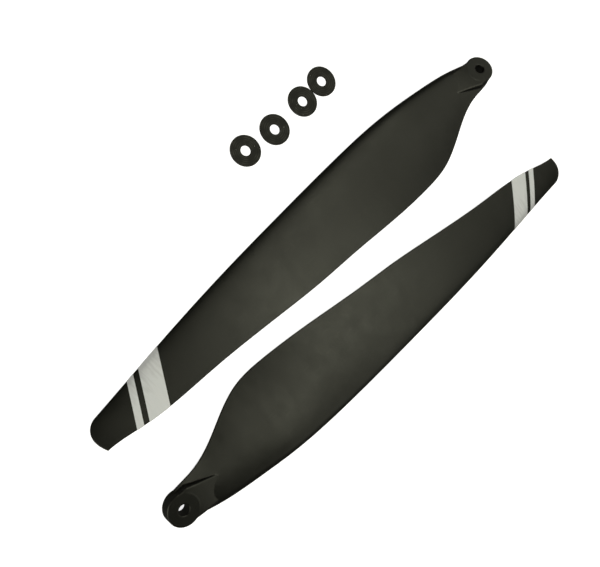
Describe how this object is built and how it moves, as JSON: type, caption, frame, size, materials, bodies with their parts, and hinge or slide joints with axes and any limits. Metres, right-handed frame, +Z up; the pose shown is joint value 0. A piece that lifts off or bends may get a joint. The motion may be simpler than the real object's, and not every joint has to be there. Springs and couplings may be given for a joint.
{
  "type": "folding propeller blade set",
  "caption": "Folding rotor blades with a twisted dark aerofoil, a round pivot lug and slanted light marker bands near the tip, laid out loose with their flat pivot washers.",
  "frame": {"origin": "on the plane that the set rests on, under the middle of the whole set's box", "axes": "+X along the blades, from the pivot of blade 1 towards its tip; +Y across the set, from the washers to blade 2; +Z up, away from the table"},
  "size_m": [0.4032, 0.1945, 0.0143],
  "materials": {
    "blade_composite": "moulded black carbon-filled nylon with a satin sheen",
    "marker_film": "light grey marker film, satin",
    "washer_plastic": "black moulded plastic with faint turning rings"
  },
  "bodies": {
    "blade_1": {"blade_1": "blade_composite", "blade_1_wide_band": "marker_film", "blade_1_narrow_band": "marker_film"},
    "blade_2": {"blade_2": "blade_composite", "blade_2_wide_band": "marker_film", "blade_2_narrow_band": "marker_film"},
    "washer_1": {"washer_1": "washer_plastic"},
    "washer_2": {"washer_2": "washer_plastic"},
    "washer_3": {"washer_3": "washer_plastic"},
    "washer_4": {"washer_4": "washer_plastic"}
  },
  "joints": [
    {"name": "blade_2_lift", "type": "slide", "parent": "blade_1", "child": "blade_2", "axis": [0, 0, 1], "range_m": [0, 0.1]},
    {"name": "washer_1_lift", "type": "slide", "parent": "blade_1", "child": "washer_1", "axis": [0, 0, 1], "range_m": [0, 0.1]},
    {"name": "washer_2_lift", "type": "slide", "parent": "blade_1", "child": "washer_2", "axis": [0, 0, 1], "range_m": [0, 0.1]},
    {"name": "washer_3_lift", "type": "slide", "parent": "blade_1", "child": "washer_3", "axis": [0, 0, 1], "range_m": [0, 0.1]},
    {"name": "washer_4_lift", "type": "slide", "parent": "blade_1", "child": "washer_4", "axis": [0, 0, 1], "range_m": [0, 0.1]}
  ]
}
